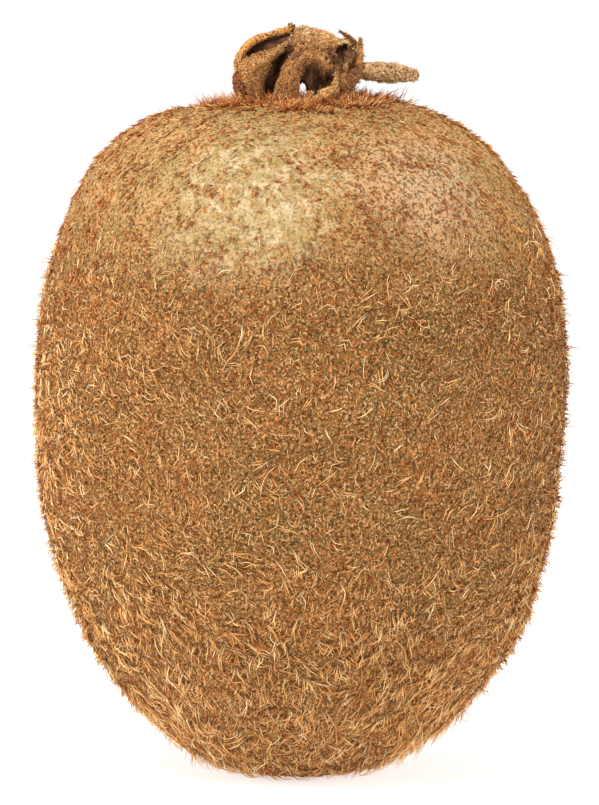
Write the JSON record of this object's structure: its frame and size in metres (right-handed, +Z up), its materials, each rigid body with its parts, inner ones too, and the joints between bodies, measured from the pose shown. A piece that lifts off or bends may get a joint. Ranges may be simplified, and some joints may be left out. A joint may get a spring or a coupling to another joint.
{
  "type": "kiwi fruit",
  "caption": "Whole green kiwi fruit with fuzzy brown skin, standing on its blossom end, dried calyx and bent stalk stub on its crown.",
  "frame": {"origin": "middle of the small flat spot at the blossom end that the fruit rests on, directly under the middle of its box", "axes": "+Z up along the fruit's core axis towards the stalk; +X towards the side that the bent stalk stub points to; the view that shows the calyx best looks along +Y"},
  "size_m": [0.0512, 0.0486, 0.0722],
  "materials": {
    "skin": "matt brown-green skin under a fuzz of golden-brown hairs",
    "sepal": "dried, wrinkled and velvety brown",
    "stalk": "dry, felted tan"
  },
  "bodies": {
    "root": {"fruit": "skin", "sepal_left": "sepal", "sepal_front": "sepal", "sepal_right": "sepal", "sepal_roof": "sepal", "sepal_back": "sepal", "stalk_stub": "stalk"}
  },
  "joints": []
}
